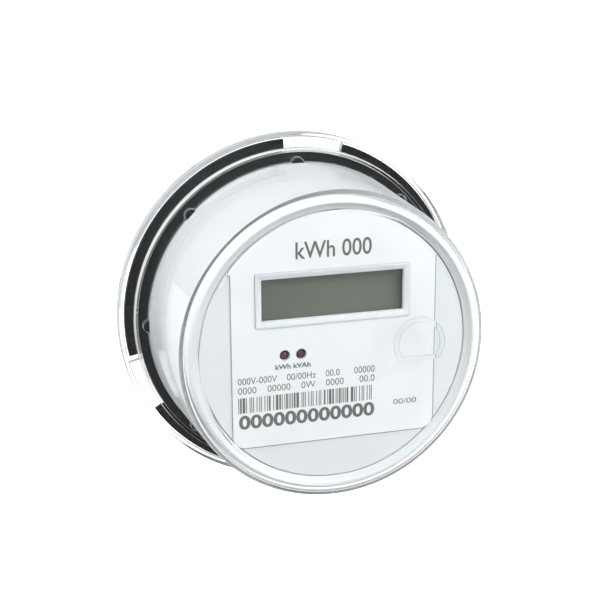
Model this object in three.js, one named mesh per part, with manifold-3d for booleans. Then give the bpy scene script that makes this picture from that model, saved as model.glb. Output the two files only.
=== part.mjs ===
// A round socket electricity meter: clear bayonet cover, black base with five blades, white inner drum
// and the boards, transformers and display that it holds. Millimetres, +Z up, the face looks to -Y.
// The origin is the centre of the flat back of the base, on the meter's axis. A depth is a distance
// ahead of that back, so a point at depth d has y = -d, and the blades reach to negative depths.
import * as THREE from 'three';
import { mergeVertices } from 'three/addons/utils/BufferGeometryUtils.js';
import Module from 'manifold-3d';

const wasm = await Module();
wasm.setup();

// ---- Driving dimensions --------------------------------------------------------------------------

const gap = 0.3; // between pieces that touch
const roundSteps = 72; // facets round the big turned pieces
const smallSteps = 20; // facets round the small ones

// Clear cover
const flangeRadius = 88.25; // the standard socket rim size
const flangeBack = 11; // depth of the lip's back edge, which seats on the socket rim
const flangeFront = 18.5;
const lipWall = 2.05;
const coverWall = 2.2;
const coverFront = 90;
const frontWall = 2.4;
const stepInset = 6.85; // from the rim in to the step
const stepWall = 1.5;
const stepFront = 23.5;
const cupInset = 6.1; // from the step in to the foot of the cup
const cupDraft = 2.5; // the cup narrows by this much in radius
const cupCorner = 8;
const padRadius = 3.2; // eight half-round pads at the foot of the cup
const padHeight = 4;
const padCount = 8;
const padSink = 0.6; // from the foot of the cup in to the middle of a pad

// Optical port ring on the cover
const portX = 38.4;
const portZ = 0;
const portRadius = 12.45;
const portRingWidth = 2.35;
const portFlat = 8.2; // distance from the port's centre down to its outer flat
const portFlatWidth = 2.05;
const portHeight = 1.2;

// Bayonet
const bayonetCount = 3;
const gapCentre = 82.3; // degrees from +X, counter-clockwise as seen from the front
const gapWidth = 21;
const unlockTurn = 17;
const hookWidth = 14;
const stopWidth = 1.6;
const stopOffset = 0.5; // degrees between a cover stop and the end of its lug at rest
const hookThickness = 1.7;
const hookReach = 3.5; // how far a hook reaches behind the rail
const stopInset = 0.5; // from the step's inner wall out to a stop

// Black base
const baseFloor = 4;
const bossInset = 16.25; // from the rim in to the round back of the base
const bossWall = 4.4;
const ledgeThickness = 1.8;
const lugClearance = 1.1; // from the rails to the lip round them
const lugThickness = 2.8;
const rimLip = 0.8; // thickness of the base's lip ahead of the gasket

// Cover gasket
const gasketWidth = 1.1;

// Blades and what they carry
const bladeWidth = 19.05;
const bladeThickness = 2.38;
const bladeLength = 28; // behind the base
const bladeSpacingX = 70;
const bladeSpacingZ = 98;
const bladeInside = 24;
const tailWidth = 14; // inside the base
const tailThickness = 2;
const bladeTaper = 3; // chamfer at the tip
const neutralX = -50;
const neutralInside = 16;
const pinRadius = 1.3;
const pinLength = 11;
const pinDepth = 7.4;
const strapThickness = 2.4;
const strapRun = 12; // width of the strap's upright run
const strapFront = 42;
const strapReach = 8; // half height of the strap's foot on a blade
const currentRingRadius = 15;
const currentRingHole = 8.5;
const currentRingHeight = 14;

// Inner drum
const drumGap = 1.6; // between the drum and the cup
const drumWall = 2;
const footGap = 0.4; // between the drum's foot and the cup
const footHeight = 2;
const drumCorner = 1.7;
const drumToFront = 2.7; // from the crest of the white rim to the inside of the cover's front
const rimWidth = 5.5;
const rimCrest = 3.3; // from the face out to the crest of the rim
const ledgeWidth = 3.5;
const plateThickness = 1.9;
const faceSink = 2.6; // from the crest of the rim back to the face
const postInset = 8.5; // from the round back of the base in to the four screw posts
const postRadius = 4.5;
const pilotMargin = 1; // from the end of a screw to the end of its hole
const baseBossRadius = 5;
const screwRadius = 1.5;
const screwHeadRadius = 3.2;
const screwHeadHeight = 2;
const screwLength = 30;
const headSink = 3.7; // depth of the sunk screw heads

// Face, label and display
const labelThickness = 0.4;
const labelHalfWidth = 49;
const labelBottom = -45.2;
const labelCorner = 6;
const labelMargin = 0.6; // from the label's round top to the edge of the face
const displayX = -0.6;
const displayZ = 24.2;
const displayWidth = 67.8;
const displayHeight = 19.5;
const displayBorder = 2.9; // the raised frame round the window
const lampX = [-23.8, -16];
const lampZ = -2.1;
const lampRadius = 2.2;

// Boards
const boardRadius = 57;
const boardThickness = 1.6;
const boardPitch = 12; // from one board to the next
const faceToBoard = 16.3;
const standoffRadius = 3;
const standoffPitch = 50;
const standoffAngles = [20, 160, 200, 340];
const screwHoleRadius = 1.6;
const boardScrewRadius = 1.2;
const boardScrewHead = 2.8;
const windowThickness = 1;
const glassThickness = 2.2;
const glassBorder = 2; // display glass hidden behind the face, on each side
const holderWall = 2;
const holderShelf = [4, 3]; // the holder's support under the glass: at the ends, at the long sides
const portLampPitch = 4; // from the port's centre to each lamp of the optical pair
const portLampRadius = 2.3;
const collar = [0.4, 1]; // a lamp's collar: how far it stands out, how thick it is
const leadRadius = 0.9;

// Components, as [x, z, width, height, thickness]
const supplyCore = [0, -4, 16, 30, 20];
const supplyWinding = [0, -4, 24, 18, 14];
const windingLift = 3; // from the power board to the winding
const filmCapacitor = [0, 26, 22, 12, 18];
const meteringChip = [-4, -22, 10, 10, 1.6];
const processorChip = [16, -22, 14, 14, 1.6];
const crystalCan = [32, -24, 11, 4.6, 3.6];
const boardLink = [0, -46, 26, 5];
// Round components, as [x, z, radius, thickness]; the first two come in pairs, one at each side
const varistor = [9, 42, 5.5, 4];
const varistorLift = 6;
const storageCapacitor = [9, -34, 5, 20];
const cell = [-30, -28, 10, 3.2];
const cellWall = 1.4; // the battery holder's wall
const cellFloor = 1;
const cellHolder = 3; // thickness of the battery holder

// ---- Helpers -------------------------------------------------------------------------------------

const radians = THREE.MathUtils.degToRad;

/** A closed geometry as a manifold solid. */
function solid(geometry) {
  const bare = geometry.clone();
  bare.deleteAttribute('normal');
  bare.deleteAttribute('uv');
  const merged = mergeVertices(bare, 1e-4);
  return new wasm.Manifold(
    new wasm.Mesh({
      numProp: 3,
      vertProperties: merged.attributes.position.array,
      triVerts: new Uint32Array(merged.index.array),
    }),
  );
}

/** A manifold solid as a geometry. */
function geometryOf(body) {
  const mesh = body.getMesh();
  const geometry = new THREE.BufferGeometry();
  geometry.setAttribute('position', new THREE.BufferAttribute(mesh.vertProperties, 3));
  geometry.setIndex(new THREE.BufferAttribute(mesh.triVerts, 1));
  const flat = geometry.toNonIndexed();
  flat.computeVertexNormals();
  return flat;
}

/** Joins the added geometries, then takes the removed ones away. */
function carve(added, removed = []) {
  let body = solid(added[0]);
  for (const piece of added.slice(1)) body = body.add(solid(piece));
  for (const piece of removed) body = body.subtract(solid(piece));
  return geometryOf(body);
}

/** A closed [radius, depth] outline turned about the meter's axis. */
function turned(outline, steps = roundSteps) {
  const points = outline.map(([radius, depth]) => new THREE.Vector2(radius, -depth));
  const area = points.reduce((sum, p, i) => {
    const next = points[(i + 1) % points.length];
    return sum + p.x * next.y - next.x * p.y;
  }, 0);
  if (area > 0) points.reverse();
  points.push(points[0].clone());
  return new THREE.LatheGeometry(points.reverse(), steps);
}

/** [radius, depth] points on a quarter round between two directions, in degrees. */
function arcPoints(centreRadius, centreDepth, radius, from, to, steps) {
  return Array.from({ length: steps + 1 }, (_, i) => {
    const angle = radians(from + ((to - from) * i) / steps);
    return [centreRadius + radius * Math.cos(angle), centreDepth + radius * Math.sin(angle)];
  });
}

/** A shape drawn in X and Z, solid from one depth to another. */
function prism(shape, back, front, curveSegments = 12) {
  const geometry = new THREE.ExtrudeGeometry(shape, {
    depth: front - back,
    bevelEnabled: false,
    curveSegments,
  });
  return geometry.rotateX(Math.PI / 2).translate(0, -back, 0);
}

/** A round bar along the meter's axis. */
function rod(x, z, radius, back, front, steps = smallSteps) {
  const geometry = new THREE.CylinderGeometry(radius, radius, front - back, steps);
  return geometry.translate(x, -(back + front) / 2, z);
}

/** A box from its centre in X and Z, its width, its height and its depths. */
function block(x, z, width, height, back, front) {
  const geometry = new THREE.BoxGeometry(width, front - back, height);
  return geometry.translate(x, -(back + front) / 2, z);
}

/** Part of a flat ring, between two angles in degrees. */
function sector(inner, outer, from, to) {
  const shape = new THREE.Shape();
  shape.absarc(0, 0, outer, radians(from), radians(to), false);
  shape.absarc(0, 0, inner, radians(to), radians(from), true);
  shape.closePath();
  return shape;
}

/** A rectangle with rounded corners, drawn in X and Z. */
function roundedRectangle(x, z, width, height, corner) {
  const shape = new THREE.Shape();
  const [left, right] = [x - width / 2, x + width / 2];
  const [bottom, top] = [z - height / 2, z + height / 2];
  shape.absarc(right - corner, top - corner, corner, 0, Math.PI / 2, false);
  shape.absarc(left + corner, top - corner, corner, Math.PI / 2, Math.PI, false);
  shape.absarc(left + corner, bottom + corner, corner, Math.PI, 1.5 * Math.PI, false);
  shape.absarc(right - corner, bottom + corner, corner, 1.5 * Math.PI, 2 * Math.PI, false);
  shape.closePath();
  return shape;
}

/** A round wire along points. */
function wire(points, radius) {
  const section = new THREE.Shape().absarc(0, 0, radius, 0, 2 * Math.PI);
  return new THREE.ExtrudeGeometry(section, {
    steps: points.length * 4,
    curveSegments: 8,
    extrudePath: new THREE.CatmullRomCurve3(points.map((p) => new THREE.Vector3(...p))),
    bevelEnabled: false,
  });
}

function material(color, roughness, metalness = 0, extra = {}) {
  return new THREE.MeshStandardMaterial({ color, roughness, metalness, ...extra });
}

const finishes = {
  clear: material(0xeef4f6, 0.05, 0, { transparent: true, opacity: 0.3 }),
  white: material(0xf1f4f6, 0.45),
  label: material(0xdfe3e5, 0.6),
  black: material(0x23282a, 0.5),
  silicone: material(0xf6f7f6, 0.7),
  copper: material(0xb87346, 0.35, 1),
  tin: material(0xc9ccce, 0.3, 1),
  steel: material(0x9a9da0, 0.35, 1),
  brass: material(0xc2a14e, 0.35, 1),
  board: material(0x1f6b3c, 0.5),
  display: material(0x747b6f, 0.15),
  chip: material(0x1a1b1d, 0.55),
  blue: material(0x234a86, 0.45),
  yellow: material(0xc9a227, 0.5),
  lamp: material(0x4a2326, 0.2),
  wire: material(0x8d1f1f, 0.5),
};

const meter = new THREE.Group();

/** Adds one named sub-part. */
function part(name, geometry, finish, parent = meter) {
  const mesh = new THREE.Mesh(geometry, finish);
  mesh.name = name;
  parent.add(mesh);
  return mesh;
}

// ---- Values that follow from the driving dimensions -------------------------------------------------

const lipInner = flangeRadius - lipWall;
const stepRadius = flangeRadius - stepInset;
const cupBackRadius = stepRadius - cupInset;
const cupFrontRadius = cupBackRadius - cupDraft;
const flangePlateBack = flangeFront - coverWall;
const stepInner = stepRadius - stepWall;
const annulusBack = stepFront - coverWall;
const lugFront = flangePlateBack - gap;
const lugBack = lugFront - lugThickness;
const lugRadius = lipInner - lugClearance;
const gasketOuter = stepInner - gap;
const gasketInner = gasketOuter - gasketWidth;
const baseRimRadius = gasketInner - gap;
const baseRimFront = annulusBack - gap;
const rimLipBack = baseRimFront - rimLip;
const ledgeRadius = stepInner;
const ledgeBack = lugFront - ledgeThickness;
const bossRadius = flangeRadius - bossInset;
const postPitch = bossRadius - postInset;
const drumBackRadius = cupBackRadius - coverWall - drumGap;
const drumFootRadius = cupBackRadius - coverWall - footGap;
const drumFrontRadius = cupFrontRadius - coverWall - drumGap;
const rimFront = coverFront - frontWall - drumToFront;
const rimInner = drumFrontRadius - rimWidth;
const ledgeInner = rimInner - ledgeWidth;
const plateFront = rimFront - faceSink;
const displayBoardBack = plateFront - faceToBoard;
const powerBoardBack = displayBoardBack - boardPitch;
const faceRadius = rimInner - gap;
const plateBack = plateFront - plateThickness;
const labelBack = plateFront + gap / 2;
const labelFront = labelBack + labelThickness;
const displayBoardFront = displayBoardBack + boardThickness;
const powerBoardFront = powerBoardBack + boardThickness;
const gapStarts = Array.from({ length: bayonetCount }, (_, i) => {
  return gapCentre - gapWidth / 2 + (i * 360) / bayonetCount;
});
const cornerSpots = [45, 135, 225, 315].map((angle) => [
  postPitch * Math.cos(radians(angle)),
  postPitch * Math.sin(radians(angle)),
]);
const standoffSpots = standoffAngles.map((angle) => [
  standoffPitch * Math.cos(radians(angle)),
  standoffPitch * Math.sin(radians(angle)),
]);

// ---- Clear cover -----------------------------------------------------------------------------------

/** The port's outline: a circle cut by a flat below its centre. */
function portOutline(radius, flat) {
  const half = Math.asin(flat / radius);
  return new THREE.Shape().absarc(portX, portZ, radius, -half, Math.PI + half, false);
}

function coverGeometry() {
  const inner = cupCorner - coverWall;
  const innerFront = coverFront - frontWall;
  const outline = [
    [lipInner, flangeBack],
    [flangeRadius, flangeBack],
    [flangeRadius, flangeFront],
    [stepRadius, flangeFront],
    [stepRadius, stepFront],
    [cupBackRadius, stepFront],
    ...arcPoints(cupFrontRadius - cupCorner, coverFront - cupCorner, cupCorner, 0, 90, 6),
    [0, coverFront],
    [0, innerFront],
    ...arcPoints(cupFrontRadius - coverWall - inner, innerFront - inner, inner, 90, 0, 5),
    [cupBackRadius - coverWall, annulusBack],
    [stepInner, annulusBack],
    [stepInner, flangePlateBack],
    [lipInner, flangePlateBack],
  ];
  const added = [turned(outline)];
  for (const start of gapStarts) {
    const hookEnd = start - (unlockTurn - hookWidth) / 2 - stopOffset;
    const hook = sector(lugRadius - hookReach, lipInner + gap, hookEnd - hookWidth, hookEnd);
    added.push(prism(hook, flangeBack, flangeBack + hookThickness, 6));
    const stopFrom = start + stopOffset;
    const stop = sector(stepInner + stopInset, lipInner + gap, stopFrom, stopFrom + stopWidth);
    added.push(prism(stop, flangeBack + hookThickness / 2, flangePlateBack + gap, 3));
  }
  for (let i = 0; i < padCount; i += 1) {
    const angle = (i * 2 * Math.PI) / padCount;
    const pitch = cupBackRadius - padSink;
    const x = pitch * Math.cos(angle);
    const z = pitch * Math.sin(angle);
    added.push(rod(x, z, padRadius, annulusBack + coverWall / 2, stepFront + padHeight, 12));
  }
  const ring = portOutline(portRadius, portFlat);
  ring.holes.push(portOutline(portRadius - portRingWidth, portFlat - portFlatWidth));
  added.push(prism(ring, coverFront - 1, coverFront + portHeight, 16));
  const innerCone = turned([
    [0, annulusBack - 1],
    [cupBackRadius - coverWall, annulusBack - 1],
    [cupBackRadius - coverWall, annulusBack],
    [cupFrontRadius - coverWall, innerFront - inner],
    [0, innerFront - inner],
  ]);
  return carve(added, [innerCone]);
}

part('cover', coverGeometry(), finishes.clear);

// ---- Gasket ----------------------------------------------------------------------------------------

part(
  'cover_gasket',
  turned([
    [gasketInner, lugFront + gap],
    [gasketOuter, lugFront + gap],
    [gasketOuter, rimLipBack - gap],
    [gasketInner, rimLipBack - gap],
  ]),
  finishes.silicone,
);

// ---- Black base ------------------------------------------------------------------------------------

const bladeSpots = [
  ['line_blade_left', -bladeSpacingX / 2, bladeSpacingZ / 2],
  ['line_blade_right', bladeSpacingX / 2, bladeSpacingZ / 2],
  ['load_blade_left', -bladeSpacingX / 2, -bladeSpacingZ / 2],
  ['load_blade_right', bladeSpacingX / 2, -bladeSpacingZ / 2],
];

function baseGeometry() {
  const body = turned([
    [0, 0],
    [bossRadius, 0],
    [bossRadius, ledgeBack],
    [ledgeRadius, ledgeBack],
    [ledgeRadius, lugFront],
    [baseRimRadius, lugFront],
    [baseRimRadius, rimLipBack],
    [gasketOuter, rimLipBack],
    [gasketOuter, baseRimFront],
    [bossRadius - bossWall, baseRimFront],
    [bossRadius - bossWall, baseFloor],
    [0, baseFloor],
  ]);
  const added = [body];
  const removed = [];
  for (const start of gapStarts) {
    const from = start + gapWidth;
    const to = start + 360 / bayonetCount;
    added.push(prism(sector(baseRimRadius - 1, lugRadius, from, to), lugBack, lugFront, 20));
  }
  for (const [x, z] of cornerSpots) {
    added.push(rod(x, z, baseBossRadius, 0, baseRimFront));
    removed.push(rod(x, z, screwRadius + gap, -1, baseRimFront + 1, 12));
    removed.push(rod(x, z, screwHeadRadius + gap, -1, headSink + screwHeadHeight + gap));
  }
  const slotWidth = tailThickness + 2 * gap;
  const slotHeight = tailWidth + 2 * gap;
  for (const [, x, z] of bladeSpots) {
    removed.push(block(x, z, slotWidth, slotHeight, -1, baseFloor + 1));
  }
  removed.push(block(neutralX, 0, slotHeight, slotWidth, -1, baseFloor + 1));
  return carve(added, removed);
}

part('base', baseGeometry(), finishes.black);

// ---- Blades, their pins and the copper straps ---------------------------------------------------------

/** A blade along the axis, wide in Z, with a chamfered tip and a thinner tail that a pin crosses. */
function bladeGeometry(inside) {
  const half = bladeWidth / 2;
  const tip = bladeLength - bladeTaper;
  const blade = new THREE.Shape([
    new THREE.Vector2(gap, -half),
    new THREE.Vector2(tip, -half),
    new THREE.Vector2(bladeLength, -half + bladeTaper),
    new THREE.Vector2(bladeLength, half - bladeTaper),
    new THREE.Vector2(tip, half),
    new THREE.Vector2(gap, half),
  ]);
  const tail = new THREE.Shape([
    new THREE.Vector2(-inside, -tailWidth / 2),
    new THREE.Vector2(2 * gap, -tailWidth / 2),
    new THREE.Vector2(2 * gap, tailWidth / 2),
    new THREE.Vector2(-inside, tailWidth / 2),
  ]);
  tail.holes.push(new THREE.Path().absarc(-pinDepth, 0, pinRadius + gap, 0, 2 * Math.PI));
  const plates = [[blade, bladeThickness], [tail, tailThickness]].map(([shape, depth]) => {
    const plate = new THREE.ExtrudeGeometry(shape, { depth, bevelEnabled: false, curveSegments: 5 });
    return plate.translate(0, 0, -depth / 2);
  });
  // The shape's x turns to +Y and its y to +Z, which leaves the thickness along X.
  return carve(plates).rotateX(Math.PI / 2).rotateZ(Math.PI / 2);
}

/** A split pin across the meter, with a loop head. */
function pinGeometry() {
  const shank = new THREE.CylinderGeometry(pinRadius, pinRadius, pinLength, 10).rotateZ(Math.PI / 2);
  const head = new THREE.CylinderGeometry(pinRadius * 2, pinRadius * 2, pinRadius, 14);
  head.rotateX(Math.PI / 2).translate(-pinLength / 2 - pinRadius, 0, 0);
  return carve([shank, head]);
}

bladeSpots.forEach(([name, x, z], i) => {
  const blade = new THREE.Group();
  blade.position.set(x, 0, z);
  meter.add(blade);
  part(name, bladeGeometry(bladeInside), finishes.tin, blade);
  const pin = part(`blade_pin_${i + 1}`, pinGeometry(), finishes.steel, blade);
  pin.position.y = -pinDepth;
  if (x < 0) pin.rotation.z = Math.PI; // its head faces the middle of the meter
});

const neutral = new THREE.Group();
neutral.position.x = neutralX;
neutral.rotation.y = Math.PI / 2;
meter.add(neutral);
part('neutral_blade', bladeGeometry(neutralInside), finishes.tin, neutral);
part('blade_pin_5', pinGeometry(), finishes.steel, neutral).position.y = -pinDepth;

/** A C-shaped copper strap from a line blade to the load blade below it. */
function strapGeometry() {
  const reach = bladeSpacingZ / 2 + strapReach;
  const inner = bladeSpacingZ / 2 - strapReach;
  const footBack = pinDepth + pinRadius * 2 + gap;
  const shape = new THREE.Shape([
    new THREE.Vector2(-footBack, -reach),
    new THREE.Vector2(-footBack, -inner),
    new THREE.Vector2(-(strapFront - strapRun), -inner),
    new THREE.Vector2(-(strapFront - strapRun), inner),
    new THREE.Vector2(-footBack, inner),
    new THREE.Vector2(-footBack, reach),
    new THREE.Vector2(-strapFront, reach),
    new THREE.Vector2(-strapFront, -reach),
  ]);
  const geometry = new THREE.ExtrudeGeometry(shape, { depth: strapThickness, bevelEnabled: false });
  geometry.translate(0, 0, -strapThickness / 2);
  return geometry.rotateX(Math.PI / 2).rotateZ(Math.PI / 2);
}

const strapOffset = (tailThickness + strapThickness) / 2 + gap;
const strapX = bladeSpacingX / 2 - strapOffset;
for (const [side, sign] of [['left', -1], ['right', 1]]) {
  part(`${side}_strap`, strapGeometry(), finishes.copper).position.x = sign * strapX;
  const ring = new THREE.LatheGeometry(
    [
      new THREE.Vector2(currentRingHole, -currentRingHeight / 2),
      new THREE.Vector2(currentRingRadius, -currentRingHeight / 2),
      new THREE.Vector2(currentRingRadius, currentRingHeight / 2),
      new THREE.Vector2(currentRingHole, currentRingHeight / 2),
      new THREE.Vector2(currentRingHole, -currentRingHeight / 2),
    ],
    28,
  );
  const transformer = part(`${side}_current_transformer`, ring, finishes.blue);
  transformer.rotation.x = Math.PI / 2;
  transformer.position.set(sign * strapX, -(strapFront - strapRun / 2), 0);
}

// ---- Inner drum, its screws and the face ---------------------------------------------------------------

function drumGeometry() {
  const innerBack = drumBackRadius - drumWall;
  const innerFront = drumFrontRadius - drumWall;
  const drumBack = baseRimFront + gap;
  const ledgeDepth = plateBack - gap;
  const shell = turned([
    [innerBack, drumBack],
    [drumFootRadius, drumBack],
    [drumFootRadius, drumBack + footHeight],
    [drumBackRadius, drumBack + footHeight],
    ...arcPoints(drumFrontRadius - drumCorner, rimFront - drumCorner, drumCorner, 0, 90, 5),
    [rimInner + rimCrest, rimFront],
    [rimInner + rimCrest / 2, plateFront + faceSink / 2],
    [rimInner, plateFront + gap],
    [rimInner, ledgeDepth],
    [ledgeInner, ledgeDepth],
    [ledgeInner, ledgeDepth - drumWall],
    [innerFront, ledgeDepth - drumWall],
  ]);
  const posts = cornerSpots.map(([x, z]) => rod(x, z, postRadius, drumBack, ledgeDepth - 1));
  const pilotEnd = headSink + screwHeadHeight + screwLength + pilotMargin;
  const pilots = cornerSpots.map(([x, z]) => rod(x, z, screwRadius + gap, 0, pilotEnd, 12));
  return carve([shell, ...posts], pilots);
}

part('inner_drum', drumGeometry(), finishes.white);

cornerSpots.forEach(([x, z], i) => {
  const headFront = headSink + screwHeadHeight;
  const head = rod(x, z, screwHeadRadius, headSink, headFront, 16);
  const shank = rod(x, z, screwRadius, headFront - 0.5, headFront + screwLength, 12);
  const socket = rod(x, z, screwRadius * 0.8, headSink - 1, headSink + screwHeadHeight / 2, 6);
  part(`drum_screw_${i + 1}`, carve([head, shank], [socket]), finishes.steel);
});

function faceGeometry() {
  const disc = rod(0, 0, faceRadius, plateBack, plateFront, roundSteps);
  const opening = block(displayX, displayZ, displayWidth, displayHeight, 0, coverFront);
  const holes = lampX.map((x) => rod(x, lampZ, lampRadius + gap, 0, coverFront, 16));
  const frame = block(
    displayX,
    displayZ,
    displayWidth + 2 * displayBorder,
    displayHeight + 2 * displayBorder,
    plateFront - 0.5,
    labelFront + gap,
  );
  return carve([disc, frame], [opening, ...holes]);
}

part('face_plate', faceGeometry(), finishes.white);

function labelGeometry() {
  const radius = faceRadius - labelMargin;
  const topAngle = Math.acos(labelHalfWidth / radius);
  const shape = new THREE.Shape();
  shape.absarc(0, 0, radius, topAngle, Math.PI - topAngle, false);
  const low = labelBottom + labelCorner;
  shape.absarc(-labelHalfWidth + labelCorner, low, labelCorner, Math.PI, 1.5 * Math.PI, false);
  shape.absarc(labelHalfWidth - labelCorner, low, labelCorner, 1.5 * Math.PI, 2 * Math.PI, false);
  shape.closePath();
  const clear = 2 * (displayBorder + gap);
  const opening = block(
    displayX,
    displayZ,
    displayWidth + clear,
    displayHeight + clear,
    0,
    coverFront,
  );
  const holes = lampX.map((x) => rod(x, lampZ, lampRadius + gap, 0, coverFront, 16));
  const disc = rod(0, 0, radius, labelBack - 1, labelFront + 1, roundSteps);
  const sheet = solid(prism(shape, labelBack, labelFront, 24)).intersect(solid(disc));
  return carve([geometryOf(sheet)], [opening, ...holes]);
}

part('nameplate', labelGeometry(), finishes.label);

// ---- Boards and what stands on them -----------------------------------------------------------------

function boardGeometry(back) {
  const board = rod(0, 0, boardRadius, back, back + boardThickness, 48);
  const holes = standoffSpots.map(([x, z]) => {
    return rod(x, z, screwHoleRadius, back - 1, back + boardThickness + 1, 10);
  });
  return carve([board], holes);
}

part('power_board', boardGeometry(powerBoardBack), finishes.board);
part('display_board', boardGeometry(displayBoardBack), finishes.board);

standoffSpots.forEach(([x, z], i) => {
  const low = rod(x, z, standoffRadius, baseFloor + gap, powerBoardBack - gap, 6);
  part(`base_standoff_${i + 1}`, low, finishes.brass);
  const high = rod(x, z, standoffRadius, powerBoardFront + gap, displayBoardBack - gap, 6);
  part(`board_standoff_${i + 1}`, high, finishes.brass);
  const headBack = displayBoardFront + gap;
  const screwHead = rod(x, z, boardScrewHead, headBack, headBack + screwHeadHeight, 14);
  const shank = rod(x, z, boardScrewRadius, displayBoardBack, headBack + 0.5, 10);
  part(`board_screw_${i + 1}`, carve([screwHead, shank]), finishes.steel);
});

const powerBack = powerBoardBack - gap; // the components behind the power board

/** A box-shaped component behind the power board, standing off it by a lift. */
function behindBoard([x, z, width, height, thickness], lift = 0) {
  return block(x, z, width, height, powerBack - lift - thickness, powerBack - lift);
}

const supply = carve([behindBoard(supplyCore), behindBoard(supplyWinding, windingLift)]);
part('supply_transformer', supply, finishes.yellow);
part('film_capacitor', behindBoard(filmCapacitor), finishes.yellow);
const [varistorX, varistorZ, varistorRadius, varistorWidth] = varistor;
const [storageX, storageZ, storageRadius, storageLength] = storageCapacitor;
for (const [i, side] of [-1, 1].entries()) {
  const disc = new THREE.CylinderGeometry(varistorRadius, varistorRadius, varistorWidth, 18);
  const standing = part(`varistor_${i + 1}`, disc.rotateX(Math.PI / 2), finishes.blue);
  standing.position.set(side * varistorX, -(powerBack - varistorLift), varistorZ);
  const can = rod(side * storageX, storageZ, storageRadius, powerBack - storageLength, powerBack, 18);
  part(`storage_capacitor_${i + 1}`, can, finishes.chip);
}

const linkFrom = powerBoardFront + gap;
part('board_link', block(...boardLink, linkFrom, displayBoardBack - gap), finishes.chip);

const onBoard = displayBoardFront + gap; // the components ahead of the display board

/** A box-shaped component ahead of the display board. */
function aheadOfBoard([x, z, width, height, thickness]) {
  return block(x, z, width, height, onBoard, onBoard + thickness);
}

part('metering_chip', aheadOfBoard(meteringChip), finishes.chip);
part('processor_chip', aheadOfBoard(processorChip), finishes.chip);
part('crystal', aheadOfBoard(crystalCan), finishes.tin);
const [cellX, cellZ, cellRadius, cellThickness] = cell;
const cellHole = cellRadius + 2 * gap;
const cellBack = onBoard + cellFloor + gap;
part('battery_holder', carve(
  [rod(cellX, cellZ, cellHole + cellWall, onBoard, onBoard + cellHolder, 24)],
  [rod(cellX, cellZ, cellHole, onBoard + cellFloor, onBoard + cellHolder + 1, 24)],
), finishes.chip);
part('battery', rod(cellX, cellZ, cellRadius, cellBack, cellBack + cellThickness, 24), finishes.tin);

// ---- Display ----------------------------------------------------------------------------------------

const windowFront = plateBack - gap;
const windowBack = windowFront - windowThickness;
const glassFront = windowBack - gap;
const glassBack = glassFront - glassThickness;
const glassWidth = displayWidth + 2 * glassBorder;
const glassHeight = displayHeight + 2 * glassBorder;
const windowPane = roundedRectangle(displayX, displayZ, glassWidth, glassHeight, 1);
part('display_window', prism(windowPane, windowBack, windowFront, 3), finishes.clear);
part(
  'display_glass',
  block(displayX, displayZ, glassWidth, glassHeight, glassBack, glassFront),
  finishes.display,
);
const [shelfEnd, shelfSide] = holderShelf;
const holderWidth = glassWidth + 2 * (gap + holderWall);
const holderHeight = glassHeight + 2 * (gap + holderWall);
part(
  'display_holder',
  carve(
    [block(displayX, displayZ, holderWidth, holderHeight, onBoard, glassFront)],
    [
      block(
        displayX,
        displayZ,
        glassWidth + 2 * gap,
        glassHeight + 2 * gap,
        glassBack - gap,
        glassFront + 1,
      ),
      block(
        displayX,
        displayZ,
        glassWidth - 2 * shelfEnd,
        glassHeight - 2 * shelfSide,
        onBoard - 1,
        glassFront,
      ),
    ],
  ),
  finishes.white,
);

// ---- Indicator lamps and the optical pair --------------------------------------------------------------

/** A round lamp with a collar and a domed end. */
function lampGeometry(x, z, radius, front) {
  const [collarWidth, collarHeight] = collar;
  const outline = [
    [0, onBoard],
    [radius + collarWidth, onBoard],
    [radius + collarWidth, onBoard + collarHeight],
    [radius, onBoard + collarHeight],
    ...arcPoints(0, front - radius, radius, 0, 90, 4),
  ];
  return turned(outline, 18).translate(x, 0, z);
}

part('left_lamp', lampGeometry(lampX[0], lampZ, lampRadius - gap, plateFront), finishes.lamp);
part('right_lamp', lampGeometry(lampX[1], lampZ, lampRadius - gap, plateFront), finishes.lamp);
const portPair = [['port_emitter', -1], ['port_detector', 1]];
for (const [name, side] of portPair) {
  const lamp = lampGeometry(portX + side * portLampPitch, portZ, portLampRadius, plateBack - gap);
  part(name, lamp, finishes.lamp);
}

// ---- Voltage leads ------------------------------------------------------------------------------------

const leadEnd = powerBack - 0.2;
for (const [side, sign] of [['left', -1], ['right', 1]]) {
  const x = sign * (bladeSpacingX / 2 + tailThickness / 2 + leadRadius + gap);
  const points = [
    [x, -(bladeInside - 6), bladeSpacingZ / 2],
    [x, -(bladeInside + 6), bladeSpacingZ / 2 - 2],
    [x, -(bladeInside + 18), bladeSpacingZ / 2 - 7],
    [x, -leadEnd, bladeSpacingZ / 2 - 11],
  ];
  part(`line_lead_${side}`, wire(points, leadRadius), finishes.wire);
}
const neutralLeadZ = tailThickness / 2 + leadRadius + gap;
part(
  'neutral_lead',
  wire(
    [
      [neutralX - 4, -(neutralInside - 6), neutralLeadZ],
      [neutralX - 4, -(neutralInside + 10), neutralLeadZ + 4],
      [neutralX + 2, -(neutralInside + 26), neutralLeadZ + 6],
      [neutralX + 4, -leadEnd, neutralLeadZ + 8],
    ],
    leadRadius,
  ),
  finishes.wire,
);

export default meter;
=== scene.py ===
"""A round socket electricity meter: its looks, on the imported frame.

Metres in the scene; the helpers take millimetres. +Z is up and the face looks to -Y. A depth is a
distance ahead of the base's flat back, so a point at depth d has y = -d.
"""

import math

import bmesh
import bpy
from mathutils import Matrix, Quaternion, Vector


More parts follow.
